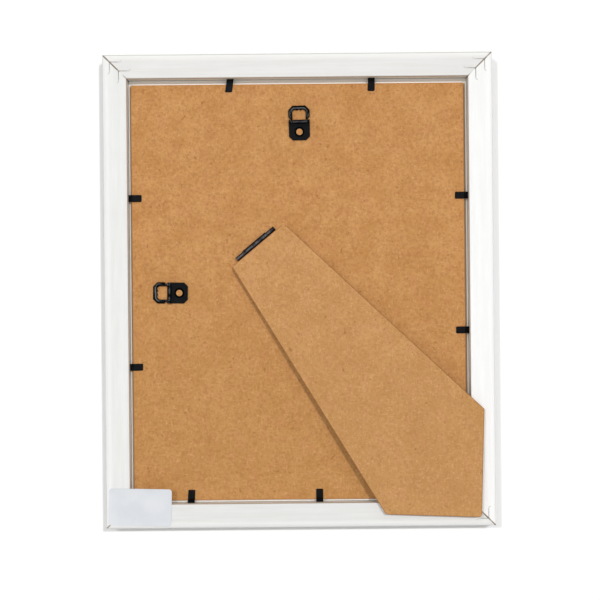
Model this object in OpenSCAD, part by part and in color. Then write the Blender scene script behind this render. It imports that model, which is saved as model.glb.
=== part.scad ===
// A picture frame for a table or a wall, lying on its face with its back up.
// x runs across the picture, y up it and z from the front to the back.
// The origin is the middle of the front face.

/* [Picture] */
// Width of the picture that the frame takes
format_w = 203.2; // [180:0.1:260]
// Height of the picture that the frame takes
format_h = 254; // [230:0.1:320]
// Play of the glass in the rebate, both sides together
rebate_play = 2.6; // [1.5:0.1:5]

/* [Rails] */
// Width of a rail's back face
rail_w = 14.6; // [12.5:0.1:24]
// Thickness of a rail from the front to the back
rail_h = 18; // [16:0.5:30]
// Thickness of the lip in front of the glass
lip_h = 5; // [3:0.1:6]
// Overlap of the lip on the glass
lip_w = 6; // [3:0.1:10]
// Radius of the rounded outer edge at the back
outer_edge_r = 3; // [1:0.1:4]
// Radius of the inner edge at the back
inner_edge_r = 0.6; // [0.3:0.1:2]
// Radius of the outer edge at the front
front_edge_r = 1.5; // [0.5:0.1:3]
// Width of the slope down to the picture on the front
slope_w = 5; // [2:0.1:8]
// Depth of that slope at the picture
slope_h = 2.2; // [1:0.1:2.6]

/* [Corner nails] */
// Distance of the outer nail's bend from both outer sides
nail_outer_inset = 4.6; // [4:0.1:5]
// Distance of the inner nail's bend from both outer sides
nail_inner_inset = 10; // [9:0.1:11]
// Straight length of a nail's leg
nail_leg = 6; // [4:0.1:8]
// Thickness of the nail's steel
nail_t = 0.5; // [0.3:0.05:0.8]
// Radius of the hooked end of a leg
nail_hook_r = 1.1; // [0.6:0.1:1.6]
// Depth to which a nail is driven
nail_depth = 9; // [5:0.5:12]

/* [Glass, mat and board] */
// Thickness of the glass
glass_t = 2; // [1.5:0.1:2.5]
// Thickness of the mat
mat_t = 1.4; // [1:0.1:1.6]
// Width of the mat around its window
mat_border = 41; // [15:0.5:60]
// Thickness of the print
print_t = 0.25; // [0.1:0.05:0.4]
// Thickness of the hardboard back
board_t = 3; // [2.8:0.1:3.5]
// Amount by which the board is smaller than the picture
board_undersize = 1.6; // [0.5:0.1:2]
// How far the board lies to the left of the middle
board_shift_left = 0.2; // [0:0.1:1]
// How far the board lies below the middle
board_shift_down = 1.2; // [0:0.1:1.4]

/* [Retaining tabs] */
// Width of a tab
tab_w = 4.2; // [3:0.1:6]
// Thickness of a tab
tab_t = 0.5; // [0.3:0.05:0.8]
// Length of a tab in front of the rebate's wall
tab_len = 8; // [6:0.1:10]
// Length of a tab driven into the rail
tab_root_len = 6; // [4:0.1:9]

/* [Hangers] */
// Distance of the upper hanger's hole from the upper edge of the board
hanger_top_inset = 29; // [25:0.1:45]
// Distance of the left hanger's hole from the left edge of the board
hanger_left_inset = 28.4; // [25:0.1:45]
// How far the upper hanger lies to the right of the middle
hanger_top_shift = 1.1; // [-3:0.1:3]
// How far the left hanger lies below the middle
hanger_left_shift = 1; // [-3:0.1:3]
// Angle by which each hanger was fastened askew
hanger_skew = 1.1; // [0:0.1:3]
// Width of a hanger's strap
strap_w = 12.7; // [12:0.1:15]
// Thickness of the strap's steel
strap_t = 0.75; // [0.5:0.05:0.9]
// Distance from the hole to the strap's free end
strap_tail = 5.2; // [4.5:0.1:7]
// Distance from the hole to the ring's pivot
pivot_reach = 5.85; // [5.6:0.05:7]
// Diameter of the hole in the strap
strap_hole_d = 3.85; // [3:0.05:4.5]
// Diameter of the bar on which the ring turns
bar_d = 1.1; // [0.9:0.05:1.2]
// Width of the ring
ring_w = 12.9; // [12.5:0.1:15]
// Distance from the ring's pivot to its outer end
ring_reach = 9.95; // [9:0.05:12]
// Thickness of the ring
ring_t = 1.3; // [1.2:0.05:1.4]
// Width of the ring's band
ring_band = 2.5; // [1.5:0.05:2.8]

/* [Easel hinge] */
// How far the hinge lies to the left of the middle
hinge_left = 26.1; // [20:0.1:32]
// How far the hinge lies above the middle
hinge_up = 28.3; // [22:0.1:36]
// Length of the hinge
hinge_len = 29.6; // [26:0.1:34]
// Length of each end knuckle
end_knuckle_len = 5.6; // [4.5:0.1:7]
// Diameter of the hinge pin
pin_d = 1.4; // [1.2:0.05:1.5]
// Thickness of the hinge's steel
leaf_t = 0.6; // [0.45:0.05:0.65]
// Angle to which the strut opens before its stop meets the board
open_angle = 35; // [28:1:42]

/* [Strut] */
// Thickness of the strut
strut_t = 3; // [2.8:0.1:3.5]
// Width of the strut at the hinge
strut_top_w = 40.6; // [36:0.1:46]
// Distance of the strut's foot from the frame's right side
foot_side_gap = 9.2; // [7:0.1:11]
// Distance of the strut's foot from the frame's lower side
foot_bottom_gap = 5.9; // [4:0.1:9]
// Length of the foot along the frame's lower side
foot_bottom_len = 57.4; // [48:0.1:64]
// Length of the foot along the frame's right side
foot_side_len = 64.7; // [54:0.1:72]

/* [Label] */
// Width of the paper label
label_w = 37.7; // [30:0.1:42]
// Height of the paper label
label_h = 22.4; // [18:0.1:26]

/* [Hidden] */
$fn = 48;

// How far a cut runs past the surface that it opens
overrun = 1;

// The rebate opening, the whole outline and the sides' directions
open_w = format_w + rebate_play;
open_h = format_h + rebate_play;
outer_w = open_w + 2 * rail_w;
outer_h = open_h + 2 * rail_w;
profile_w = rail_w + lip_w;
SIDE_BOTTOM = 0;
SIDE_RIGHT = 90;
SIDE_TOP = 180;
SIDE_LEFT = 270;

// Heights of the layers behind the lip
mat_z = lip_h + glass_t;
print_z = mat_z + mat_t;
board_z = print_z + print_t;
board_top = board_z + board_t;

// The nails stop just short of the back face
nail_sink = 0.1;

// The mat's window widens towards the glass along this slope
mat_bevel = mat_t;

// Size and middle of the board
board_w = format_w - board_undersize;
board_h = format_h - board_undersize;
board_mid = [-board_shift_left, -board_shift_down];
board_corner_r = 0.8;

// The tabs: the side of each, its place along half the opening and its slant
tab_sides = [SIDE_TOP, SIDE_TOP, SIDE_RIGHT, SIDE_RIGHT, SIDE_BOTTOM, SIDE_BOTTOM, SIDE_LEFT, SIDE_LEFT];
tab_along_shares = [0.394, -0.437, 0.442, -0.194, -0.646, 0.11, -0.44, 0.357];
tab_slants = [8, 2, 0, 0, 3, 0, 0, -1];
tab_lift = 0.1;
tab_gap = 0.02;
tab_tip_r = 0.6;
tab_z = board_top + tab_lift + tab_t / 2;
tab_pivot = tab_t / 2 + tab_gap;

// The strap: the roll around the bar, the lap that the roll ends in and the windows for the ring's necks
bar_clearance = 0.04;
roll_bore_r = bar_d / 2 + bar_clearance;
roll_r = roll_bore_r + strap_t;
strap_chamfer = 2.3;
strap_corner_r = 0.5;
lap_len = 2.15;
neck_w = 1.25;
neck_reach = 1.6;
neck_clearance = 0.1;
neck_floor = roll_r - ring_t / 2 - 2 * neck_clearance;
dish_rim_w = 1.25;
dish_depth_share = 0.8;
collar_t = 0.65;
collar_d = strap_hole_d + 2 * collar_t;
collar_depth = 2.2;
collar_notch_w = 1.4;
collar_notch_h = 1.2;

// The ring: its outline narrows to two necks at the pivot, and two teeth grip a nail
// Its crowned section, as shares of the band's width in from its edges and of its thickness
ring_crown_shares = [[0, 0.4], [0.12, 0.76], [0.32, 1]];
ring_cut_t = 0.5;
ring_corner = 2.6;
ring_inner_corner = 1.2;
ring_leg_w = 2.4;
ring_flare = 1.65;
ring_tooth_pitch = 2.4;
ring_tooth_w = 1.4;
ring_tooth_h = 0.6;
ring_rest_gap = 0.08;
ring_mid_w = ring_w / 2 - ring_leg_w;
ring_neck_w = ring_mid_w + neck_w;
ring_droop = asin((roll_r - ring_t / 2 - ring_rest_gap) / ring_reach);

// The hinge: knuckles around the pin, just clear of the board
pin_clearance = 0.04;
knuckle_bore_r = pin_d / 2 + pin_clearance;
knuckle_r = knuckle_bore_r + leaf_t;
knuckle_gap = 0.2;
hinge_lift = 0.05;
hinge_axis_h = knuckle_r + hinge_lift;
hinge_at = [-hinge_left, hinge_up];
mid_knuckle_len = hinge_len - 2 * end_knuckle_len - 2 * knuckle_gap;
clinch_len = 7;
stop_gap = 0.02;
stop_droop = 5;
strut_leaf_len = 15;
tine_w = 1.6;
tine_h = 2.2;
tine_tip_h = 1;
tine_slot_wall = 0.5;
tine_across = mid_knuckle_len - leaf_t - 2 * (tine_h + tine_slot_wall);
tine_slot_x = (tine_across + leaf_t + tine_h) / 2;
tine_rows = [4.5, 11.5];

// The strut: its foot is a square corner, turned slightly, that rests on the rails
foot_turn = 2;
strut_end_gap = 0.4;
strut_drop = 0.2;
strut_top_shift = 0.6;
strut_tip_shift = 1.6;
strut_top_r = 2.2;
strut_foot_r = 1.6;
strut_shoulder_r = 1;
foot_rest_gap = 0.05;
foot_tip = [outer_w / 2 - foot_side_gap, foot_bottom_gap - outer_h / 2];
foot_left = foot_tip + foot_bottom_len * [-cos(foot_turn), sin(foot_turn)];
foot_right = foot_tip + foot_side_len * [sin(foot_turn), cos(foot_turn)];
foot_way = foot_tip - hinge_at;
hinge_angle = atan2(foot_way.y, foot_way.x) + 90 + asin(strut_tip_shift / norm(foot_way));
hinge_axis_z = board_top + hinge_axis_h;

// The outline of the strut in the hinge's own directions, and how steeply it lies on the rails
strut_top_y = -(knuckle_r + strut_end_gap);
strut_top_left = [strut_top_shift - strut_top_w / 2, strut_top_y];
strut_top_right = [strut_top_shift + strut_top_w / 2, strut_top_y];
strut_outline = [
    strut_top_left,
    strut_top_right,
    to_hinge(foot_right),
    to_hinge(foot_tip),
    to_hinge(foot_left)
];
strut_radii = [strut_top_r, strut_top_r, strut_shoulder_r, strut_foot_r, strut_shoulder_r];
right_share = crossing(to_frame(strut_top_right).x, foot_right.x, open_w / 2);
left_share = crossing(to_frame(strut_top_left).y, foot_left.y, -open_h / 2);
right_contact = strut_top_y + right_share * (to_hinge(foot_right).y - strut_top_y);
left_contact = strut_top_y + left_share * (to_hinge(foot_left).y - strut_top_y);
rest_reach = -max(right_contact, left_contact);
strut_incline = atan((rail_h + foot_rest_gap + strut_drop - hinge_axis_z) / rest_reach);

// The stop reaches just far enough to meet the board when the strut is fully open
stop_angle = strut_incline + open_angle + stop_droop;
stop_reach = (hinge_axis_h - stop_gap - leaf_t / 2 * cos(stop_angle)) / sin(stop_angle);

// The label sits on the lower left corner
label_t = 0.15;
label_corner_r = 1.8;
label_side_gap = 1.9;
label_bottom_gap = 1.9;
label_turn = -1.5;

// A point of the frame seen in the hinge's directions, and back
function to_hinge(p) = let (d = p - hinge_at) [
    d.x * cos(hinge_angle) + d.y * sin(hinge_angle),
    d.y * cos(hinge_angle) - d.x * sin(hinge_angle)
];
function to_frame(p) = hinge_at + [
    p.x * cos(hinge_angle) - p.y * sin(hinge_angle),
    p.x * sin(hinge_angle) + p.y * cos(hinge_angle)
];

// The share of the way from one value to another at which a third is met
function crossing(from, to, at) = max(0, min(1, (at - from) / (to - from)));

// The length of a side of the frame and its distance from the middle
function side_len(side, w, h) = side % 180 == 0 ? w : h;
function side_reach(side, w, h) = side % 180 == 0 ? h / 2 : w / 2;

function unit(v) = v / norm(v);

// Points of the arc that rounds the corner p between its neighbours a and b
function fillet(a, p, b, r, steps) =
    let (
        to_a = unit(a - p),
        to_b = unit(b - p),
        half = acos(to_a * to_b) / 2,
        mid = p + unit(to_a + to_b) * r / sin(half),
        first = p + to_a * r / tan(half) - mid,
        last = p + to_b * r / tan(half) - mid,
        start = atan2(first.y, first.x),
        turn = atan2(first.x * last.y - first.y * last.x, first * last)
    )
    [for (i = [0:steps]) mid + r * [cos(start + turn * i / steps), sin(start + turn * i / steps)]];

// An outline with each corner rounded by its own radius
function rounded(points, radii, steps = 5) =
    let (n = len(points))
    [
        for (i = [0:n - 1])
            each radii[i] > 0
                ? fillet(points[(i + n - 1) % n], points[i], points[(i + 1) % n], radii[i], steps)
                : [points[i]]
    ];

// Draws a section along x: the section's x becomes y, and its y becomes z
module along_x(from, to) {
    translate([from, 0, 0])
        rotate([90, 0, 90])
            linear_extrude(to - from)
                children();
}

// What is cut off a square corner of a section to round it; inward points into the section
module round_off(corner, inward, r) {
    translate(corner)
        mirror([inward.x < 0 ? 1 : 0, 0, 0])
            mirror([0, inward.y < 0 ? 1 : 0, 0])
                difference() {
                    translate([-overrun, -overrun])
                        square(r + overrun);
                    translate([r, r])
                        circle(r);
                }
}

// Section of a rail from its outer side inwards, front at zero
module rail_section() {
    difference() {
        polygon([
            [0, 0],
            [profile_w - slope_w, 0],
            [profile_w, slope_h],
            [profile_w, lip_h],
            [rail_w, lip_h],
            [rail_w, rail_h],
            [0, rail_h]
        ]);
        round_off([0, rail_h], [1, -1], outer_edge_r);
        round_off([rail_w, rail_h], [-1, -1], inner_edge_r);
        round_off([0, 0], [1, 1], front_edge_r);
    }
}

// One mitred rail, with the slots of the nails and tabs that are driven into it
module rail(side) {
    length = side_len(side, outer_w, outer_h);
    reach = side_reach(side, outer_w, outer_h);
    color("whitesmoke")
        difference() {
            rotate([0, 0, side])
                intersection() {
                    translate([0, -reach, 0])
                        along_x(-length / 2, length / 2)
                            rail_section();
                    linear_extrude(rail_h)
                        polygon([
                            [-length / 2, -reach],
                            [length / 2, -reach],
                            [length / 2 - profile_w, profile_w - reach],
                            [profile_w - length / 2, profile_w - reach]
                        ]);
                }
            for (corner = [side, side + 90])
                nails_at(corner, nail_sink + overrun);
            for (i = [0:len(tab_sides) - 1])
                if (tab_sides[i] == side)
                    tab_root(i);
        }
}

module rail_top() {
    rail(SIDE_TOP);
}

module rail_bottom() {
    rail(SIDE_BOTTOM);
}

module rail_left() {
    rail(SIDE_LEFT);
}

module rail_right() {
    rail(SIDE_RIGHT);
}

// Plan of a nail's leg that runs along x and hooks outwards
module nail_leg_plan() {
    translate([-nail_t / 2, -nail_t / 2])
        square([nail_leg + nail_t / 2, nail_t]);
    translate([nail_leg, -nail_hook_r])
        intersection() {
            difference() {
                circle(nail_hook_r + nail_t / 2);
                circle(nail_hook_r - nail_t / 2);
            }
            square(nail_hook_r + nail_t);
        }
}

// The two nails of one corner; extra makes them taller, as the slots are
module nails_at(corner, extra) {
    turn = corner % 360;
    rotate([0, 0, turn])
        for (inset = [nail_outer_inset, nail_inner_inset])
            translate([
                inset - side_len(turn, outer_w, outer_h) / 2,
                inset - side_reach(turn, outer_w, outer_h),
                rail_h - nail_sink - nail_depth
            ])
                linear_extrude(nail_depth + extra) {
                    nail_leg_plan();
                    mirror([1, -1, 0])
                        nail_leg_plan();
                }
}

// Bent steel strips across each mitre, two to a corner
module corner_nails() {
    color("darkgray")
        for (corner = [0:90:270])
            nails_at(corner, 0);
}

module glazing() {
    color("lightcyan", 0.4)
        translate([-format_w / 2, -format_h / 2, lip_h])
            cube([format_w, format_h, glass_t]);
}

// Section of the mat's window, which widens from the print to the glass
module mat_window_section(window) {
    half = window / 2;
    polygon([
        [-half - mat_bevel, -overrun],
        [half + mat_bevel, -overrun],
        [half + mat_bevel, 0],
        [half, mat_t],
        [half, mat_t + overrun],
        [-half, mat_t + overrun],
        [-half, mat_t],
        [-half - mat_bevel, 0]
    ]);
}

module mat_board() {
    window_w = format_w - 2 * mat_border;
    window_h = format_h - 2 * mat_border;
    color("ivory")
        difference() {
            translate([-format_w / 2, -format_h / 2, mat_z])
                cube([format_w, format_h, mat_t]);
            translate([0, 0, mat_z])
                intersection() {
                    along_x(-format_w / 2, format_w / 2)
                        mat_window_section(window_h);
                    rotate([0, 0, 90])
                        along_x(-format_h / 2, format_h / 2)
                            mat_window_section(window_w);
                }
        }
}

module print_sheet() {
    color("white")
        translate([-format_w / 2, -format_h / 2, print_z])
            cube([format_w, format_h, print_t]);
}

// Hardboard back, with the places where the hinge and the hangers grip it
module backing_board() {
    half = [board_w / 2, board_h / 2];
    corners = [-half, [half.x, -half.y], half, [-half.x, half.y]];
    radii = [for (corner = corners) board_corner_r];
    color("peru")
        difference() {
            translate([board_mid.x, board_mid.y, board_z])
                linear_extrude(board_t)
                    polygon(rounded(corners, radii));
            at_hinge()
                for (end = [-1, 1])
                    along_x(leaf_start(end), leaf_start(end) + end_knuckle_len)
                        board_leaf_grip();
            for (hanger = [0, 1])
                at_hanger(hanger)
                    collar();
        }
}

// Places a tab's own directions: x along the rebate's wall, y from the wall over the board
module at_tab(i) {
    side = tab_sides[i];
    rotate([0, 0, side])
        translate([
            tab_along_shares[i] * side_len(side, open_w, open_h) / 2,
            -side_reach(side, open_w, open_h),
            tab_z
        ])
            children();
}

// The free part of a tab, rounded along its bend and slanted as it was driven
module tab_blade(i) {
    length = tab_len - tab_pivot;
    lean = length * tan(tab_slants[i]);
    color("black")
        at_tab(i)
            translate([0, tab_pivot, 0]) {
                along_x(-tab_w / 2, tab_w / 2)
                    circle(d = tab_t);
                translate([0, 0, -tab_t / 2])
                    linear_extrude(tab_t)
                        polygon(rounded(
                            [
                                [-tab_w / 2, 0],
                                [tab_w / 2, 0],
                                [tab_w / 2 + lean, length],
                                [lean - tab_w / 2, length]
                            ],
                            [0, 0, tab_tip_r, tab_tip_r]
                        ));
            }
}

// The driven part of a tab, inside the rail
module tab_root(i) {
    at_tab(i)
        translate([-tab_w / 2, -tab_root_len, -tab_t / 2])
            cube([tab_w, tab_root_len, tab_t]);
}

module tab_roots() {
    color("black")
        for (i = [0:len(tab_sides) - 1])
            tab_root(i);
}

// Places a hanger's own directions: the origin is its hole on the board, y points to its ring
module at_hanger(hanger) {
    if (hanger == 0)
        translate([hanger_top_shift, board_mid.y + board_h / 2 - hanger_top_inset, board_top])
            rotate([0, 0, hanger_skew])
                children();
    else
        translate([board_mid.x - board_w / 2 + hanger_left_inset, -hanger_left_shift, board_top])
            rotate([0, 0, 90 - hanger_skew])
                children();
}

// The collar that is punched out of the strap and pressed into the board
module collar() {
    translate([0, 0, -collar_depth])
        difference() {
            cylinder(d = collar_d, h = collar_depth);
            translate([0, 0, -overrun])
                cylinder(d = strap_hole_d, h = collar_depth + 2 * overrun);
        }
}

// The notches that leave the collar's spikes standing; each widens past the collar's end
module collar_notches() {
    for (turn = [0:60:300])
        rotate([90, 0, turn])
            translate([0, -collar_depth, (strap_hole_d - collar_t) / 2])
                linear_extrude(2 * collar_t)
                    polygon([
                        [-collar_notch_w, -collar_notch_h],
                        [collar_notch_w, -collar_notch_h],
                        [0, collar_notch_h]
                    ]);
}

// Side view of the strap: the plate on the board, the roll and the lap on the plate
module strap_fold() {
    translate([pivot_reach, roll_r])
        circle(roll_r);
    translate([pivot_reach - lap_len, strap_t])
        square([lap_len - roll_bore_r, strap_t]);
}

// Where the ring's neck at one end begins
function neck_start(end) = end * (ring_mid_w + neck_w / 2) - neck_w / 2;

module strap(hanger) {
    plan = [
        [-strap_w / 2, pivot_reach],
        [-strap_w / 2, strap_chamfer - strap_tail],
        [strap_chamfer - strap_w / 2, -strap_tail],
        [strap_w / 2 - strap_chamfer, -strap_tail],
        [strap_w / 2, strap_chamfer - strap_tail],
        [strap_w / 2, pivot_reach]
    ];
    radii = [0, strap_corner_r, strap_corner_r, strap_corner_r, strap_corner_r, 0];
    dish_h = dish_depth_share * strap_t;
    dish_d = strap_hole_d + 2 * dish_rim_w;
    color("black")
        at_hanger(hanger)
            difference() {
                union() {
                    linear_extrude(strap_t)
                        polygon(rounded(plan, radii));
                    along_x(-strap_w / 2, strap_w / 2)
                        strap_fold();
                    translate([0, 0, -collar_depth])
                        cylinder(d = collar_d, h = collar_depth);
                }
                translate([0, 0, -collar_depth - overrun])
                    cylinder(d = strap_hole_d, h = collar_depth + strap_t + 2 * overrun);
                translate([0, 0, strap_t - dish_h])
                    cylinder(d1 = strap_hole_d, d2 = dish_d, h = dish_h);
                translate([0, 0, strap_t])
                    cylinder(d = dish_d, h = overrun);
                collar_notches();
                translate([0, pivot_reach, roll_r])
                    along_x(-strap_w, strap_w)
                        circle(roll_bore_r);
                for (end = [-1, 1])
                    translate([neck_start(end) - neck_clearance, pivot_reach - neck_reach, neck_floor])
                        cube([
                            neck_w + 2 * neck_clearance,
                            neck_reach + roll_r + overrun,
                            2 * roll_r
                        ]);
            }
}

module hanger_strap_top() {
    strap(0);
}

module hanger_strap_left() {
    strap(1);
}

// The ring's outline beyond the necks, convex, with cut corners
module ring_plan() {
    polygon([
        [-ring_neck_w, neck_reach],
        [ring_neck_w, neck_reach],
        [ring_w / 2, neck_reach + ring_flare],
        [ring_w / 2, ring_reach - ring_corner],
        [ring_w / 2 - ring_corner, ring_reach],
        [ring_corner - ring_w / 2, ring_reach],
        [-ring_w / 2, ring_reach - ring_corner],
        [-ring_w / 2, neck_reach + ring_flare]
    ]);
}

module ring_hole_plan() {
    top = ring_reach - ring_band;
    polygon([
        [-ring_mid_w, 0],
        [ring_mid_w, 0],
        [ring_mid_w, top - ring_inner_corner],
        [ring_mid_w - ring_inner_corner, top],
        [ring_inner_corner - ring_mid_w, top],
        [-ring_mid_w, top - ring_inner_corner]
    ]);
}

// The ring's outline or hole at one step of its crown; in is -1 for the outline and 1 for the hole
module ring_slice(step, in, thickness) {
    linear_extrude(thickness, center = true)
        offset(delta = in * step.x * ring_band)
            children();
}

// The ring lies with its outer end just above the board, and its bar turns in the strap's roll
module ring(hanger) {
    crown_end = ring_crown_shares[len(ring_crown_shares) - 1];
    edge_t = ring_crown_shares[0].y * ring_t;
    color("black")
        at_hanger(hanger)
            translate([0, pivot_reach, roll_r])
                rotate([-ring_droop, 0, 0]) {
                    difference() {
                        hull()
                            for (step = ring_crown_shares)
                                ring_slice(step, -1, step.y * ring_t)
                                    ring_plan();
                        linear_extrude(ring_t + overrun, center = true)
                            ring_hole_plan();
                        for (face = [0, 1], i = [1:len(ring_crown_shares) - 1])
                            mirror([0, 0, face])
                                hull()
                                    for (step = [ring_crown_shares[i - 1], ring_crown_shares[i]])
                                        translate([0, 0, (step.y * ring_t + ring_cut_t) / 2])
                                            ring_slice(step, 1, ring_cut_t)
                                                ring_hole_plan();
                    }
                    for (side = [-1, 1])
                        translate([side * ring_tooth_pitch / 2, ring_reach - ring_band, 0])
                            linear_extrude(edge_t, center = true)
                                polygon([
                                    [-ring_tooth_w / 2, ring_band / 2],
                                    [-ring_tooth_w / 2, 0],
                                    [0, -ring_tooth_h],
                                    [ring_tooth_w / 2, 0],
                                    [ring_tooth_w / 2, ring_band / 2]
                                ]);
                    for (end = [-1, 1])
                        along_x(neck_start(end), neck_start(end) + neck_w) {
                            circle(d = ring_t);
                            translate([0, -ring_t / 2])
                                square([neck_reach + crown_end.x * ring_band, ring_t]);
                        }
                    along_x(-ring_neck_w, ring_neck_w)
                        circle(d = bar_d);
                }
}

module hanger_ring_top() {
    ring(0);
}

module hanger_ring_left() {
    ring(1);
}

// Places the hinge's own directions: x along the pin, the strut runs towards -y
module at_hinge() {
    translate([hinge_at.x, hinge_at.y, hinge_axis_z])
        rotate([0, 0, hinge_angle])
            children();
}

// The same, leaning with the strut as it lies on the rails
module at_strut() {
    at_hinge()
        rotate([-strut_incline, 0, 0])
            children();
}

// Where the end knuckle at one end begins
function leaf_start(end) = end * (hinge_len - end_knuckle_len) / 2 - end_knuckle_len / 2;

// The part of the board's leaf that passes through the board and is clinched flat inside
module board_leaf_grip() {
    translate([knuckle_r - leaf_t, -hinge_axis_h - board_t])
        square([leaf_t, hinge_axis_h + board_t]);
    translate([knuckle_r - leaf_t, -hinge_axis_h - board_t])
        square([clinch_len, leaf_t]);
}

// Two end knuckles, each drawn through a slot in the board
module hinge_leaf_board() {
    color("dimgray")
        at_hinge()
            for (end = [-1, 1])
                along_x(leaf_start(end), leaf_start(end) + end_knuckle_len)
                    difference() {
                        union() {
                            circle(knuckle_r);
                            board_leaf_grip();
                        }
                        circle(knuckle_bore_r);
                    }
}

// One tine of the strut's leaf, bent up and pressed into the strut
module tine() {
    along_x(-leaf_t / 2, leaf_t / 2)
        polygon([
            [-tine_w / 2, 0],
            [tine_w / 2, 0],
            [tine_w / 2, tine_h - tine_tip_h],
            [0, tine_h],
            [-tine_w / 2, tine_h - tine_tip_h]
        ]);
}

module tines() {
    for (end = [-1, 1])
        for (row = tine_rows)
            translate([end * tine_across / 2, -row, -strut_drop])
                tine();
}

// The middle knuckle, the plate under the strut with its tines, and the stop behind the pin
module hinge_leaf_strut() {
    color("dimgray")
        at_strut() {
            difference() {
                along_x(-mid_knuckle_len / 2, mid_knuckle_len / 2)
                    difference() {
                        union() {
                            circle(knuckle_r);
                            translate([-strut_leaf_len, -strut_drop - leaf_t])
                                square([strut_leaf_len, leaf_t]);
                            rotate(-stop_droop)
                                translate([0, -leaf_t / 2])
                                    square([stop_reach, leaf_t]);
                        }
                        circle(knuckle_bore_r);
                    }
                for (end = [-1, 1])
                    for (row = tine_rows)
                        translate([end * tine_slot_x, -row, -strut_drop])
                            cube([tine_h, tine_w, 2 * (leaf_t + overrun)], center = true);
            }
            tines();
        }
}

module hinge_pin() {
    color("silver")
        at_hinge()
            along_x(-hinge_len / 2, hinge_len / 2)
                circle(d = pin_d);
}

// Hardboard strut, hinged along its upper edge
module strut_leg() {
    color("burlywood")
        at_strut()
            difference() {
                translate([0, 0, -strut_drop])
                    linear_extrude(strut_t)
                        polygon(rounded(strut_outline, strut_radii));
                tines();
            }
}

// Bare paper label on the lower left corner
module paper_label() {
    half = [label_w / 2, label_h / 2];
    corners = [-half, [half.x, -half.y], half, [-half.x, half.y]];
    radii = [for (corner = corners) label_corner_r];
    color("white")
        translate([
            label_side_gap + half.x - outer_w / 2,
            label_bottom_gap + half.y - outer_h / 2,
            rail_h
        ])
            rotate([0, 0, label_turn])
                linear_extrude(label_t)
                    polygon(rounded(corners, radii));
}

module tab_top_left() {
    tab_blade(0);
}

module tab_top_right() {
    tab_blade(1);
}

module tab_right_upper() {
    tab_blade(2);
}

module tab_right_lower() {
    tab_blade(3);
}

module tab_bottom_left() {
    tab_blade(4);
}

module tab_bottom_right() {
    tab_blade(5);
}

module tab_left_upper() {
    tab_blade(6);
}

module tab_left_lower() {
    tab_blade(7);
}

rail_top();
rail_bottom();
rail_left();
rail_right();
corner_nails();
glazing();
mat_board();
print_sheet();
backing_board();
tab_top_left();
tab_top_right();
tab_right_upper();
tab_right_lower();
tab_bottom_left();
tab_bottom_right();
tab_left_upper();
tab_left_lower();
tab_roots();
hanger_strap_top();
hanger_ring_top();
hanger_strap_left();
hanger_ring_left();
hinge_leaf_board();
hinge_leaf_strut();
hinge_pin();
strut_leg();
paper_label();
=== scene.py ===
import math

import bmesh
import bpy
from mathutils import Matrix, Vector


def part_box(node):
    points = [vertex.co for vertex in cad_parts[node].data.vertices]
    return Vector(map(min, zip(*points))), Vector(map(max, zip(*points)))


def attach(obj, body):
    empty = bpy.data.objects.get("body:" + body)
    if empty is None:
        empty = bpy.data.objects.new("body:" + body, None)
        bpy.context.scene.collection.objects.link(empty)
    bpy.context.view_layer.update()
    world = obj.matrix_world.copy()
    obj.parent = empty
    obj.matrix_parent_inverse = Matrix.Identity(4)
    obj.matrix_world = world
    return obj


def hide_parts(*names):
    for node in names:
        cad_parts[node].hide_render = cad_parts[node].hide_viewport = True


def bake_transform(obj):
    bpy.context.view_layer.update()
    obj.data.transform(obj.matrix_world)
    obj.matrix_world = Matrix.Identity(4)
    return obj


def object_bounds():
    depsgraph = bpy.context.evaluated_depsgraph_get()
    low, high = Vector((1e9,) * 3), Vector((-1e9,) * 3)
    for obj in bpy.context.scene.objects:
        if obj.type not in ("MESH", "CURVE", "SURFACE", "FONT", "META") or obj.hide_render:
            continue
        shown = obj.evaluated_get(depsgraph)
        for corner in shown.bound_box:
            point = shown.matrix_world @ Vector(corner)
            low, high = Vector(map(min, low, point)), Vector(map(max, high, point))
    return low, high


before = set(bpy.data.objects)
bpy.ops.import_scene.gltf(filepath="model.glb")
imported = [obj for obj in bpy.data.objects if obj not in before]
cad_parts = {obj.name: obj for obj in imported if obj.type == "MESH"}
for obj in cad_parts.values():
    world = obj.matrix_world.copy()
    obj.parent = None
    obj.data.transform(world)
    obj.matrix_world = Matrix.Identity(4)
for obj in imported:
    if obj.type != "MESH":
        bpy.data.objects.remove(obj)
cad_box = [list(corner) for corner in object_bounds()]

# View: the frame lies on its face on a pale table and is seen from straight above, turned by half a degree.
# Two far lamps and a bright room light it. The table is open under the frame and clear from below, so that
# the front shows from there.
MM = 0.001
HALF = Vector(cad_box[1][:2])
CAMERA_AT = Vector((0.48, -5.92, 915.5)) * MM
CAMERA_TURN = math.radians(-0.53)
LENS = 89.5
LAMP_SOFTNESS = math.radians(3)
SOFTBOX_LEVEL = 5.0
# Each softbox's middle and half sides, across and along, on a ceiling bent to a ball of radius 1.
SOFTBOXES = ((-0.04, 0.06, 0.15, 0.15), (-0.36, 0.2, 0.06, 0.12), (0.36, 0.12, 0.06, 0.12))
TABLE_SIDE = 6
TABLE_GAP = 0.15 * MM
TABLE_UNDER_FRAME = 1.3 * MM

scene = bpy.context.scene
scene.view_settings.view_transform = "Standard"
camera = bpy.data.objects.new("camera", bpy.data.cameras.new("camera"))
scene.collection.objects.link(camera)
camera.data.lens = LENS
camera.data.clip_start = 10 * MM
camera.location = CAMERA_AT
camera.rotation_euler = (0, 0, CAMERA_TURN)
scene.camera = camera


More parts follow.
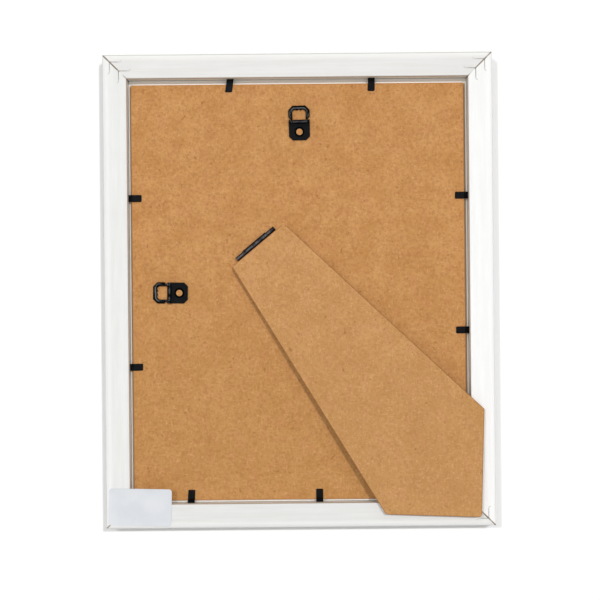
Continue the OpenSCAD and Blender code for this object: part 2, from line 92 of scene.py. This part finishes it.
def sun(name, azimuth, elevation, strength):
    """A far lamp in a direction; what glossy pieces mirror is the room and not the lamp."""
    lamp = bpy.data.lights.new(name, "SUN")
    lamp.energy = strength
    lamp.angle = LAMP_SOFTNESS
    obj = bpy.data.objects.new(name, lamp)
    scene.collection.objects.link(obj)
    a, e = math.radians(azimuth), math.radians(elevation)
    towards = Vector((math.cos(e) * math.cos(a), math.cos(e) * math.sin(a), math.sin(e)))
    obj.rotation_euler = towards.to_track_quat("Z", "Y").to_euler()
    obj.visible_glossy = False


sun("lamp_right", 44, 69.5, 1.08)
sun("lamp_left", 145, 66.5, 0.7)


class Val:
    """A number or colour that varies over a surface; arithmetic on a number adds Math nodes."""

    def __init__(self, graph, socket):
        self.graph, self.socket = graph, socket

    def math(self, operation, *values, first=None):
        """A Math node on this number and others; first takes this number's place where the order matters."""
        terms = (self if first is None else first, *values)
        return self.graph.node("ShaderNodeMath", {"operation": operation}, dict(enumerate(terms)))

    def __add__(self, other):
        return self.math("ADD", other)

    def __sub__(self, other):
        return self.math("SUBTRACT", other)

    def __rsub__(self, other):
        return self.math("SUBTRACT", self, first=other)

    def __mul__(self, other):
        return self.math("MULTIPLY", other)

    def __truediv__(self, other):
        return self.math("DIVIDE", other)

    __radd__, __rmul__ = __add__, __mul__

    def __abs__(self):
        return self.math("ABSOLUTE")

    def above(self, other):
        """The larger of the two."""
        return self.math("MAXIMUM", other)

    def below(self, other):
        """The smaller of the two."""
        return self.math("MINIMUM", other)

    def rise(self, low, high):
        """0 up to low, 1 from high on, smooth between; low may be the larger."""
        sockets = {"Value": self, "From Min": low, "From Max": high}
        return self.graph.node("ShaderNodeMapRange", {"interpolation_type": "SMOOTHSTEP"}, sockets)


class Graph:
    """A node tree, and the coordinates that its patterns are laid out on."""

    def __init__(self, tree, coordinates):
        self.tree = tree
        self.place = self.node("ShaderNodeTexCoord", {}, {}, out=coordinates)

    def put(self, node, sockets):
        """Sets each socket to its value, or links it where the value varies."""
        for key, value in sockets.items():
            socket = node.inputs[key.replace("_", " ") if isinstance(key, str) else key]
            if isinstance(value, Val):
                self.tree.links.new(value.socket, socket)
            else:
                socket.default_value = value

    def node(self, kind, settings, sockets, out=0):
        """A new node's output; its settings are made first."""
        node = self.tree.nodes.new(kind)
        for key, value in settings.items():
            if key == "stops":
                marks = node.color_ramp.elements
                while len(marks) < len(value):
                    marks.new(0.5)
                for mark, (place, grey) in zip(marks, value):
                    mark.position = place
                    mark.color = (grey, grey, grey, 1)
            else:
                setattr(node, key, value)
        self.put(node, sockets)
        return Val(self, node.outputs[out])

    def ramp(self, place, *stops):
        """A grey level that follows a place from 0 to 1; each stop is a place and its level."""
        return self.node("ShaderNodeValToRGB", {"stops": stops}, {0: place})

    def axes(self):
        return [self.node("ShaderNodeSeparateXYZ", {}, {0: self.place}, out=i) for i in range(3)]


class Finish(Graph):
    """A material on one Principled shader, with plain values set on its own sockets."""

    def __init__(self, name, **plain):
        self.mat = bpy.data.materials.new(name)
        self.mat.use_nodes = True
        super().__init__(self.mat.node_tree, "Object")
        self.shade(**plain)

    def noise(self, scale, detail=3.0, rough=0.5, move=(0, 0, 0), turn=0.0):
        """Cloudy noise from 0 to 1; scale is its number of spots in a metre along each axis."""
        scale = scale if isinstance(scale, tuple) else (scale,) * 3
        layout = {"Vector": self.place, "Location": move, "Rotation": (0, 0, turn), "Scale": scale}
        at = self.node("ShaderNodeMapping", {}, layout)
        look = {"Vector": at, "Scale": 1.0, "Detail": detail, "Roughness": rough}
        return self.node("ShaderNodeTexNoise", {}, look)

    def mix(self, share, a, b):
        """Colour a, with a share of colour b from 0 to 1."""
        return self.node("ShaderNodeMix", {"data_type": "RGBA"}, {0: share, 6: a, 7: b}, out=2)

    def bump(self, height, depth):
        """Relief of the given depth in metres."""
        return self.node("ShaderNodeBump", {}, {"Height": height, "Distance": depth, "Strength": 1.0})

    def shade(self, **sockets):
        """Sets or links the shader's sockets."""
        self.put(self.tree.nodes["Principled BSDF"], sockets)
        return self.mat


def flat_sheet(wide, deep):
    """A flat rectangle about the middle, to be cut, bent and given its thickness."""
    bm = bmesh.new()
    bmesh.ops.create_grid(bm, x_segments=1, y_segments=1, size=0.5)
    bmesh.ops.scale(bm, verts=bm.verts, vec=(wide, deep, 1))
    return bm


def score(bm, axis, places):
    """Cuts the faces across an axis at each place, so that the mesh can bend or open there."""
    for place in places:
        at, across = Vector((0, 0, 0)), Vector((0, 0, 0))
        at[axis], across[axis] = place, 1
        everything = bm.verts[:] + bm.edges[:] + bm.faces[:]
        bmesh.ops.bisect_plane(bm, geom=everything, plane_co=at, plane_no=across)


world = bpy.data.worlds.new("room")
scene.world = world
world.use_nodes = True
room = Graph(world.node_tree, "Generated")
x, y, z = room.axes()
# What each height of the room sends: a soft even light to matt pieces, and to glossy ones pale walls and
# a dark ceiling that holds the softboxes.
height = z * 0.5 + 0.5
lit = room.ramp(height, (0.0, 0.5), (0.6, 0.32), (0.8, 0.4), (1.0, 0.74))
mirrored = room.ramp(height, (0.0, 0.9), (0.55, 0.9), (0.66, 0.06), (1.0, 0.02))
for middle_x, middle_y, half_x, half_y in SOFTBOXES:
    reach = (abs(x - middle_x) / (2 * half_x)).above(abs(y - middle_y) / (2 * half_y))
    front = room.ramp(reach, (0.0, 1), (0.4, 1), (0.6, 0)) * SOFTBOX_LEVEL
    mirrored = mirrored.above(front * z.math("GREATER_THAN", 0.5))
by_camera, by_gloss, by_glass = (
    room.node("ShaderNodeLightPath", {}, {}, out=f"Is {kind} Ray")
    for kind in ("Camera", "Glossy", "Transmission")
)
level = by_gloss * mirrored + (1.0 - by_gloss) * lit
seen = by_camera.above(by_glass)
strength = seen + (1.0 - seen) * level
room.put(world.node_tree.nodes["Background"], {"Color": (1, 1, 1, 1), "Strength": strength})

bm = flat_sheet(TABLE_SIDE, TABLE_SIDE)
bmesh.ops.translate(bm, verts=bm.verts, vec=(0, 0, -TABLE_GAP))
for axis in (0, 1):
    opening = HALF[axis] - TABLE_UNDER_FRAME
    score(bm, axis, (-opening, opening))
under = [face for face in bm.faces if face.calc_center_median().length < 10 * MM]
bmesh.ops.delete(bm, geom=under, context="FACES")
table = bpy.data.objects.new("table", bpy.data.meshes.new("table"))
bm.to_mesh(table.data)
bm.free()
scene.collection.objects.link(table)
top = Finish("table_top", Base_Color=(0.99, 0.99, 0.99, 1), Roughness=0.9, Specular_IOR_Level=0)
top.shade(Emission_Color=(1, 1, 1, 1), Emission_Strength=0.03)
paint = Val(top, top.tree.nodes["Principled BSDF"].outputs[0])
below = top.node("ShaderNodeNewGeometry", {}, {}, out="Backfacing")
clear = top.node("ShaderNodeBsdfTransparent", {}, {})
both = top.node("ShaderNodeMixShader", {}, {0: below, 1: paint, 2: clear})
top.put(top.tree.nodes["Material Output"], {"Surface": both})
table.data.materials.append(top.mat)


# Rails: four lengths of fibreboard moulding wrapped in white foil, cut at 45 degrees and glued.
# The four whites differ as painted light, the right rail's brightest as a painted reflection; each outer edge
# has a painted highlight and a painted shade line. The foil stops at the rebate, where the raw board shows,
# near-white low in the slot as painted light and darker under the rail's edge as painted shade.
# Each joint is a fine dark groove.
RAIL_W = 14.6 * MM
OPEN_W, OPEN_H = 2 * (HALF.x - RAIL_W), 2 * (HALF.y - RAIL_W)
RAIL_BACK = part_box("rail_top")[1].z
LIP_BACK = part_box("glazing")[0].z
# The bare rebate wall's two tones: near-white low in the slot as painted light, darker under the rail's edge
# as painted shade.
BARE_WALL_LIT = (248, 246, 240), (255, 254, 250)
BARE_WALL_SHADE = (196, 182, 158), (220, 208, 188)
# Each rail's run; its foil's colour, which differs per side as painted light, the right rail's brightest as a
# painted reflection; the colour of its outer edge, a painted highlight; and the strength of a painted shade
# line on its rim.
RAILS = (
    ("rail_top", "x", (232, 231, 229), (250, 249, 246), 0.7),
    ("rail_bottom", "x", (230, 230, 228), (250, 250, 248), 0.0),
    ("rail_left", "y", (236, 236, 234), (251, 251, 250), 0.0),
    ("rail_right", "y", (250, 250, 249), (255, 255, 254), 0.0),
)


def srgb(r, g, b):
    """A colour given as a picture shows it, 0 to 255."""
    return tuple(((v / 255 + 0.055) / 1.055) ** 2.4 if v > 10 else v / 3294.6 for v in (r, g, b)) + (1.0,)


def solid(node):
    """A copy of a CAD node's mesh, its loose triangles joined and its flat faces made whole."""
    bm = bmesh.new()
    bm.from_mesh(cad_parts[node].data)
    bmesh.ops.remove_doubles(bm, verts=bm.verts, dist=0.001 * MM)
    bmesh.ops.dissolve_limit(bm, angle_limit=math.radians(0.5), verts=bm.verts, edges=bm.edges)
    return bm


def soften(bm, radius, which=lambda edge: True, segments=2, angle=32):
    """Rounds the edges that which() picks and that turn by more than the angle."""
    sharp = [
        edge
        for edge in bm.edges
        if len(edge.link_faces) == 2 and edge.calc_face_angle(0) > math.radians(angle) and which(edge)
    ]
    bmesh.ops.bevel(
        bm, geom=sharp, offset=radius, segments=segments, affect="EDGES", profile=0.5, material=-1,
        clamp_overlap=True,
    )


def piece(name, bm, material, body, node, crease=38, even=True):
    """Ends a piece: its mesh, finish and body, and hides the CAD node it stands for."""
    mesh = bpy.data.meshes.new(name)
    bm.to_mesh(mesh)
    bm.free()
    mesh.shade_smooth()
    mesh.set_sharp_from_angle(angle=math.radians(crease))
    obj = bpy.data.objects.new(name, mesh)
    if even:
        obj.modifiers.new("even_normals", "WEIGHTED_NORMAL").keep_sharp = True
    scene.collection.objects.link(obj)
    mesh.materials.append(material)
    if body:
        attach(obj, body)
    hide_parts(node)
    return obj


def from_corner(x, y):
    """How far a point is past the frame's outer edge, negative on the frame, and how far from the mitre."""
    past_x, past_y = abs(x) - HALF.x, abs(y) - HALF.y
    return past_x.above(past_y), abs(past_x - past_y)


def foil(name, run, white, edge, rub):
    """White foil, streaked along the rail, with a painted highlight on its outer edge and painted shade on
    its outer rim and side; the raw board it leaves bare is near-white as painted light and darker at the top
    as painted shade.
    """
    finish = Finish(name, Specular_IOR_Level=0.45)
    x, y, z = finish.axes()
    slow, fast = (26.0, 420.0) if run == "x" else (420.0, 26.0)
    streak = finish.noise((slow, fast, 420.0), 5.0, 0.6)
    cloud = finish.noise(55.0, 3.0)
    r, g, b = white
    colour = finish.mix(streak.rise(0.3, 0.72), srgb(r - 4, g - 4, b - 5), srgb(r + 3, g + 3, b + 3))
    colour = finish.mix(cloud.rise(0.42, 0.75) * 0.4, colour, srgb(r - 5, g - 5, b - 5))

    down = RAIL_BACK - z
    past, joint = from_corner(x, y)
    # Painted highlight: the foil lightens over its outer 5 mm towards the edge colour.
    colour = finish.mix(past.rise(-5 * MM, -1.4 * MM) * 0.7, colour, srgb(*edge))
    # Painted shade: the outer side below the rounding is darkened, and, as far as the rail's rim share asks,
    # a thin line along its outermost rim.
    outer_side_shade = down.rise(1.4 * MM, 2.1 * MM) * past.rise(-1 * MM, -0.6 * MM)
    colour = finish.mix(outer_side_shade * 0.75, colour, srgb(180, 178, 172))
    rim_shade = down.rise(0.5 * MM, 1 * MM) * past.rise(-1 * MM, -0.5 * MM)
    colour = finish.mix(rim_shade * rub, colour, srgb(180, 178, 170))

    waver = finish.noise(900.0, 4.0) * (0.5 * MM)
    wall = (abs(x) - OPEN_W / 2).above(abs(y) - OPEN_H / 2) + waver
    raw = wall.rise(0.42 * MM, 0.3 * MM) * (down - waver).rise(0.5 * MM, 0.7 * MM)
    raw = raw * (z - LIP_BACK).rise(-0.1 * MM, -0.04 * MM)
    fibre = finish.noise((700.0, 700.0, 260.0), 6.0, 0.7)
    # The bare wall is painted near-white below as painted light and darker in its upper 3 to 4 mm as painted
    # shade.
    board, wall_shade = (
        finish.mix(fibre.rise(0.3, 0.7), srgb(*dark), srgb(*light)) for dark, light in (BARE_WALL_LIT, BARE_WALL_SHADE)
    )
    board = finish.mix((down - waver).rise(4.2 * MM, 2.8 * MM), board, wall_shade)
    colour = finish.mix(raw, colour, board)

    joint = joint + finish.noise(420.0, 3.0) * (0.3 * MM)
    patchy = finish.noise(170.0, 4.0, move=(1, 5, 2)).rise(0.4, 0.62) * 0.5
    outer_end = past.rise(-11 * MM, -8 * MM) * 0.75
    inner_end = past.rise(-13 * MM, -14.2 * MM) * 0.3
    groove = joint.rise(0.95 * MM, 0.4 * MM) * (patchy + outer_end.above(inner_end)).below(1.0)
    colour = finish.mix(groove * 0.95, colour, srgb(122, 98, 58))
    return finish.shade(
        Base_Color=colour,
        Roughness=0.36 + streak * 0.12 + raw * 0.4,
        Normal=finish.bump(streak * 0.7 + fibre * raw, 0.06 * MM),
    )


def mitred(edge):
    """Whether an edge lies in a rail's cut end."""
    return all(abs((abs(v.co.x) - HALF.x) - (abs(v.co.y) - HALF.y)) < 0.01 * MM for v in edge.verts)


for node, *look in RAILS:
    bm = solid(node)
    soften(bm, 0.13 * MM, mitred)
    piece(node + "_foil", bm, foil("white_foil_" + node, *look), "frame", node)


# Corner nails: strips of bright steel, bent to a V with hooked ends, driven flush across each mitre.
# They have greyed, and glue has browned them where they cross the joint.
def dress(node, material):
    """Gives a CAD node that keeps its shape its finish."""
    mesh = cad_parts[node].data
    mesh.materials.clear()
    mesh.materials.append(material)


finish = Finish("nail_strip", Metallic=0.25)
x, y, z = finish.axes()
past, joint = from_corner(x, y)
wear = finish.noise(900.0, 4.0)
colour = finish.mix(wear.rise(0.3, 0.7), srgb(150, 148, 141), srgb(188, 186, 180))
colour = finish.mix(past.rise(-6 * MM, -4 * MM) * 0.5, colour, srgb(214, 212, 206))
colour = finish.mix(joint.rise(3.6 * MM, 6.5 * MM) * 0.6, colour, srgb(226, 225, 222))
colour = finish.mix(joint.rise(1.4 * MM, 0.2 * MM) * 0.8, colour, srgb(134, 118, 88))
dress("corner_nails", finish.shade(Base_Color=colour, Roughness=0.38 + wear * 0.25))


# Glass, mat and print: a clear pane, a cut card with a bevelled window and a plain sheet behind it.
# All three lie loose in the rebate, and the print has no picture on it.
MAT_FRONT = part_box("mat_board")[0].z
PRINT_LOW, PRINT_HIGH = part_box("print_sheet")
PRINT_PLAY = 0.3 * MM
PRINT = Vector((OPEN_W - 2 * PRINT_PLAY, OPEN_H - 2 * PRINT_PLAY, PRINT_HIGH.z - PRINT_LOW.z))

finish = Finish("pane", Alpha=0.14, IOR=1.5)
haze = finish.noise(60.0, 3.0)
colour = finish.mix(haze, srgb(214, 232, 228), srgb(226, 238, 236))
dress("glazing", finish.shade(Base_Color=colour, Roughness=0.02 + haze * 0.05))

finish = Finish("mat_card", Specular_IOR_Level=0.3)
x, y, z = finish.axes()
grain = finish.noise(1400.0, 5.0, 0.7)
bevelled = (z - MAT_FRONT).rise(0.02 * MM, 0.06 * MM)
colour = finish.mix(grain.rise(0.3, 0.7), srgb(236, 233, 224), srgb(244, 242, 236))
colour = finish.mix(bevelled * 0.35, colour, srgb(248, 248, 246))
relief = finish.bump(grain, 0.03 * MM)
dress("mat_board", finish.shade(Base_Color=colour, Roughness=0.82 + grain * 0.1, Normal=relief))

finish = Finish("print_sheet_paper", Specular_IOR_Level=0.35)
x, y, z = finish.axes()
pulp, cloud = finish.noise(2200.0, 4.0), finish.noise(30.0, 2.0)
from_side, from_end = PRINT.x / 2 - abs(x), PRINT.y / 2 - abs(y)
# Painted shadow: a dull brown band on the sheet's side margins beside the board's edge, where the board's
# shadow falls.
ledge = from_side.rise(0.3 * MM, 1 * MM) * from_side.rise(3.6 * MM, 2.6 * MM)
board_edge_shadow = ledge * from_end.rise(2.8 * MM, 3.4 * MM)
colour = finish.mix(pulp.rise(0.3, 0.7), srgb(246, 246, 244), srgb(252, 252, 250))
colour = finish.mix(board_edge_shadow * 0.9, colour, srgb(152, 136, 108))
colour = finish.mix(cloud * 0.3, colour, srgb(238, 237, 232))
bm = bmesh.new()
bmesh.ops.create_cube(bm, size=1)
bmesh.ops.scale(bm, verts=bm.verts, vec=PRINT)
upright = [edge for edge in bm.edges if abs(edge.verts[0].co.z - edge.verts[1].co.z) > PRINT.z / 2]
bmesh.ops.bevel(bm, geom=upright, offset=0.8 * MM, segments=3, affect="EDGES", profile=0.5, material=-1)
bmesh.ops.translate(bm, verts=bm.verts, vec=(0, 0, (PRINT_LOW.z + PRINT_HIGH.z) / 2))
relief = finish.bump(pulp, 0.015 * MM)
paper = finish.shade(Base_Color=colour, Roughness=0.6 + pulp * 0.15, Normal=relief)
piece("print_paper_sheet", bm, paper, "frame", "print_sheet")


# Back: a sheet of 3 mm hardboard, sawn to fit the rebate, held down by eight bent tabs.
# Pressed wood fibre gives it cloudy tan tones, fine short fibres and dark specks; it is darker along its
# outline and towards the bottom.
BOARD_LOW, BOARD_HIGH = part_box("backing_board")
# The lower edge, up to this line, is drawn up a little to open the slot below it.
BOARD_FOOT = BOARD_LOW.y + 0.4 * MM
BOARD_LIFT = 0.8 * MM
BOARD_LOW.y += BOARD_LIFT
BOARD_MID = (BOARD_LOW + BOARD_HIGH) / 2
BOARD_HALF = (BOARD_HIGH - BOARD_LOW) / 2


def hardboard(name, dark, light, grit_tone, patch_tone, fibre_tone, turn=0.0):
    """Hardboard's colour and relief; turn sets how its fibres lie, in radians."""
    finish = Finish(name, Specular_IOR_Level=0.2)
    cloud = finish.noise(70.0, 6.0, 0.7, turn=turn)
    patch = finish.noise((150.0, 120.0, 150.0), 4.0, 0.65, (3, 1, 7), turn)
    grit = finish.noise((620.0, 560.0, 400.0), 3.0, 0.7, (2, 6, 3), turn)
    fibre = finish.noise((1000.0, 360.0, 900.0), 3.0, 0.6, (1, 8, 2), turn + 0.3)
    cross = finish.noise((360.0, 1000.0, 900.0), 3.0, 0.6, (5, 2, 4), turn + 0.5)
    speck = finish.noise((400.0, 330.0, 300.0), 2.0, 0.5, (9, 4, 1), turn)
    # Darker towards the bottom.
    towards_bottom = finish.axes()[1].rise(70 * MM, -110 * MM)
    colour = finish.mix(cloud.rise(0.3, 0.7), srgb(*dark), srgb(*light))
    colour = finish.mix(towards_bottom * 0.3, colour, srgb(172, 131, 73))
    colour = finish.mix(patch.rise(0.45, 0.7) * 0.55, colour, srgb(*patch_tone))
    colour = finish.mix(grit.rise(0.44, 0.64) * 0.5, colour, srgb(*grit_tone))
    colour = finish.mix((fibre.rise(0.54, 0.72) + cross.rise(0.54, 0.72)) * 0.4, colour, srgb(*fibre_tone))
    colour = finish.mix(speck.rise(0.66, 0.76) * 0.5, colour, srgb(146, 90, 46))
    return finish, colour, fibre * 0.4 + cross * 0.3 + grit * 0.3


def outline(edge):
    """Whether an edge lies along the board's sawn sides."""
    return all(
        abs(v.co.x - BOARD_MID.x) > BOARD_HALF.x - 1 * MM or abs(v.co.y - BOARD_MID.y) > BOARD_HALF.y - 1 * MM
        for v in edge.verts
    )


finish, colour, relief = hardboard(
    "hardboard_back", dark=(192, 137, 81), light=(208, 154, 98),
    grit_tone=(168, 114, 64), patch_tone=(196, 138, 90), fibre_tone=(222, 172, 116),
)
x, y, z = finish.axes()
inset = (abs(x - BOARD_MID.x) - BOARD_HALF.x).above(abs(y - BOARD_MID.y) - BOARD_HALF.y)
# Darker within half a millimetre of its outline.
rim = inset.rise(-0.5 * MM, -0.2 * MM)
colour = finish.mix(rim * 0.7, colour, srgb(176, 118, 68))
colour = finish.mix((BOARD_HIGH.z - z).rise(0.2 * MM, 0.35 * MM) * rim, colour, srgb(226, 192, 150))
board = finish.shade(Base_Color=colour, Roughness=0.68 + relief * 0.2, Normal=finish.bump(relief, 0.05 * MM))
bm = solid("backing_board")
for v in bm.verts:
    if v.co.y < BOARD_FOOT:
        v.co.y += BOARD_LIFT
soften(bm, 0.22 * MM, outline)
piece("back", bm, board, "frame", "backing_board")


# Tabs: black enamelled steel strips driven flat into the rebate's wall and pressed down on the board.
# Each rises a little to a soft crease a third of the way out, and is scored finely at the wall, where such a
# tab bends to let the board go.
# All eight tabs are alike, and this one is bent straight out, so its box gives their sizes.
TAB_LOW, TAB_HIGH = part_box("tab_left_upper")
TAB_W = TAB_HIGH.y - TAB_LOW.y
TAB_T = TAB_HIGH.z - TAB_LOW.z
TAB_Z = (TAB_LOW.z + TAB_HIGH.z) / 2
TAB_LEN = TAB_HIGH.x + OPEN_W / 2
IN_WALL = 1.2 * MM
CREASE_AT, CREASE_RISE, TIP_DROP = 2.6 * MM, 0.14 * MM, 0.2 * MM
BEND_CUTS = [0.1 * MM * i for i in range(12)]
CREASE_CUTS = [at * MM for at in (1.5, 2.0, 2.3, 2.6, 2.9, 3.3, 4.5, 6.0)]
# Each tab's side of the frame in degrees, its place as a share of half that side, and its slant in degrees.
TABS = (
    ("tab_top_left", 180, 0.394, 8),
    ("tab_top_right", 180, -0.437, 2),
    ("tab_right_upper", 90, 0.442, 0),
    ("tab_right_lower", 90, -0.194, 0),
    ("tab_bottom_left", 0, -0.646, 3),
    ("tab_bottom_right", 0, 0.11, 0),
    ("tab_left_upper", 270, -0.44, 0),
    ("tab_left_lower", 270, 0.357, -1),
)


def enamel(name, sheen, rub_tone, gloss=0.5, highlight_above=None):
    """Black enamel, with a painted highlight in grey where it stands higher than the given height."""
    finish = Finish(name, Specular_IOR_Level=gloss, Specular_Tint=(0.88, 0.95, 1.0, 1))
    coat = finish.noise(900.0, 4.0)
    rub = finish.noise((240.0, 240.0, 900.0), 3.0, 0.6, (4, 4, 4))
    colour = finish.mix(rub.rise(0.45, 0.8), srgb(8, 8, 9), srgb(*rub_tone))
    if highlight_above:
        # Painted highlight: grey patches on the highest crowns, such as the strap's roll and the hinge's
        # knuckles.
        high = finish.axes()[2].rise(highlight_above, highlight_above + 0.3 * MM) * rub.rise(0.35, 0.55)
        colour = finish.mix(high * 0.7, colour, srgb(104, 102, 106))
    relief = finish.bump(coat, 0.006 * MM)
    return finish.shade(Base_Color=colour, Roughness=sheen + coat * 0.08, Normal=relief)


tab_enamel = enamel("black_tab_enamel", 0.2, (20, 22, 28), gloss=0.04)
for node, side, share, slant in TABS:
    bm = flat_sheet(TAB_W, TAB_LEN + IN_WALL)
    bmesh.ops.translate(bm, verts=bm.verts, vec=(0, (TAB_LEN - IN_WALL) / 2, 0))
    tip = [v for v in bm.verts if v.co.y > 0]
    bmesh.ops.bevel(bm, geom=tip, offset=0.65 * MM, segments=4, affect="VERTICES", profile=0.5, material=-1)
    score(bm, 1, BEND_CUTS + CREASE_CUTS)
    for v in bm.verts:
        out = max(0.0, v.co.y)
        past_crease = max(0.0, out - CREASE_AT) / (TAB_LEN - CREASE_AT)
        v.co.x += out * math.tan(math.radians(slant))
        v.co.z = CREASE_RISE * min(out, CREASE_AT) / CREASE_AT - TIP_DROP * past_crease
    bmesh.ops.solidify(bm, geom=bm.faces[:], thickness=-TAB_T)
    bmesh.ops.translate(bm, verts=bm.verts, vec=(0, 0, -TAB_T / 2))
    bmesh.ops.recalc_face_normals(bm, faces=bm.faces)
    soften(bm, 0.07 * MM, segments=1, angle=50)
    half_length, reach = (OPEN_W / 2, OPEN_H / 2) if side % 180 == 0 else (OPEN_H / 2, OPEN_W / 2)
    turn = Matrix.Rotation(math.radians(side), 4, "Z")
    place = turn @ Matrix.Translation((share * half_length, -reach, TAB_Z))
    bmesh.ops.transform(bm, verts=bm.verts, matrix=place)
    strip = piece(node + "_strip", bm, tab_enamel, None, node)
    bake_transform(strip)
dress("tab_roots", tab_enamel)


# Hangers: a strap of black steel folded around a bar, with a punched collar pressed into the board,
# and a stamped ring that turns in the fold. The ring's band is crowned and two teeth grip the nail.
strap_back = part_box("hanger_strap_top")[1].z
strap_enamel = enamel("black_strap_enamel", 0.16, (16, 17, 20), gloss=0.03, highlight_above=strap_back - 0.23 * MM)
for node in ("hanger_strap_top", "hanger_strap_left"):
    bm = solid(node)
    soften(bm, 0.1 * MM, angle=40)
    piece(node + "_plate", bm, strap_enamel, "frame", node)
ring_enamel = enamel("black_ring_enamel", 0.08, (14, 15, 17))
for node, body in (("hanger_ring_top", "ring_top"), ("hanger_ring_left", "ring_left")):
    bm = solid(node)
    soften(bm, 0.1 * MM, angle=60)
    piece(node + "_band", bm, ring_enamel, body, node, crease=60, even=False)


# Hinge: two black steel leaves rolled around one pin. The board's leaf is clinched through slots in the
# board, and the strut's leaf lies under the strut with four tines pressed into it.
knuckle_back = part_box("hinge_leaf_board")[1].z
hinge_enamel = enamel("black_hinge_enamel", 0.32, (18, 20, 24), gloss=0.4, highlight_above=knuckle_back - 0.33 * MM)
for node, body in (("hinge_leaf_board", "frame"), ("hinge_leaf_strut", "strut")):
    bm = solid(node)
    soften(bm, 0.08 * MM, angle=40)
    piece(node + "_steel", bm, hinge_enamel, body, node)
finish = Finish("pin_wire", Metallic=0.85)
drawn = finish.noise((300.0, 300.0, 2000.0), 4.0)
colour = finish.mix(drawn, srgb(96, 96, 98), srgb(140, 140, 142))
dress("hinge_pin", finish.shade(Base_Color=colour, Roughness=0.3 + drawn * 0.2))


# Strut: a tapered leg of the same hardboard, a shade lighter and smoother, with sanded edges.
# It lies folded on the rails with its square foot at the lower right corner.
finish, colour, relief = hardboard(
    "hardboard_strut", dark=(194, 142, 88), light=(209, 157, 102),
    grit_tone=(176, 124, 74), patch_tone=(202, 148, 102), fibre_tone=(224, 176, 124), turn=0.7,
)
bm = solid("strut_leg")
x, y, z = finish.axes()
# A painted shade line darkens the long edges of the upper face; inside is how far a point lies in from the
# nearest.
upper = max((face for face in bm.faces if face.normal.z > 0.5), key=lambda face: face.calc_area())
inside = None
for loop in upper.loops:
    a, b = loop.vert.co, loop.link_loop_next.vert.co
    if (b - a).length > 10 * MM:
        inward = Vector((a.y - b.y, b.x - a.x)).normalized()
        distance = (x - a.x) * inward.x + (y - a.y) * inward.y
        inside = distance if inside is None else inside.below(distance)
colour = finish.mix(inside.rise(0.5 * MM, 0.15 * MM) * 0.7, colour, srgb(146, 94, 50))
leg = finish.shade(Base_Color=colour, Roughness=0.62 + relief * 0.2, Normal=finish.bump(relief, 0.035 * MM))
soften(bm, 0.2 * MM, lambda edge: edge.calc_length() > 0.2 * MM, angle=60)
piece("strut_board", bm, leg, "strut", "strut_leg")


# Label: a bare paper sticker on the lower left corner, half over the board.
# It is stuck down by hand, a little askew, and its upper and right edges curl up.
LABEL = Vector((37.7, 22.4)) * MM
LABEL_T = 0.14 * MM
LABEL_INSET = 1.9 * MM
LABEL_GAP, TOP_CURL, SIDE_CURL = 0.15 * MM, 0.55 * MM, 0.3 * MM
bm = flat_sheet(LABEL.x, LABEL.y)
corners = bm.verts[:]
bmesh.ops.bevel(bm, geom=corners, offset=1.8 * MM, segments=6, affect="VERTICES", profile=0.5, material=-1)
for axis in (0, 1):
    score(bm, axis, [LABEL[axis] / 2 * (i / 10 - 1) for i in range(1, 20)])
for v in bm.verts:
    up, right = v.co.y / LABEL.y + 0.5, v.co.x / LABEL.x + 0.5
    top_curl = TOP_CURL * max(0.0, (up - 0.72) / 0.28) ** 2
    side_curl = SIDE_CURL * max(0.0, (right - 0.85) / 0.15) ** 2
    v.co.z = LABEL_GAP + top_curl + side_curl
bmesh.ops.solidify(bm, geom=bm.faces[:], thickness=LABEL_T)
bmesh.ops.recalc_face_normals(bm, faces=bm.faces)
corner = Vector((LABEL_INSET - HALF.x, LABEL_INSET - HALF.y, RAIL_BACK))
place = Matrix.Translation(corner + LABEL.to_3d() / 2) @ Matrix.Rotation(math.radians(-1.5), 4, "Z")
bmesh.ops.transform(bm, verts=bm.verts, matrix=place)
finish = Finish("sticker_paper", Specular_IOR_Level=0.35)
pulp, cloud = finish.noise(1800.0, 4.0), finish.noise(70.0, 3.0)
colour = finish.mix(cloud.rise(0.3, 0.7), srgb(218, 222, 226), srgb(228, 230, 233))
colour = finish.mix(pulp * 0.2, colour, srgb(216, 218, 226))
relief = finish.bump(pulp + cloud, 0.02 * MM)
paper = finish.shade(Base_Color=colour, Roughness=0.5 + pulp * 0.15, Normal=relief)
piece("sticker", bm, paper, "frame", "paper_label")
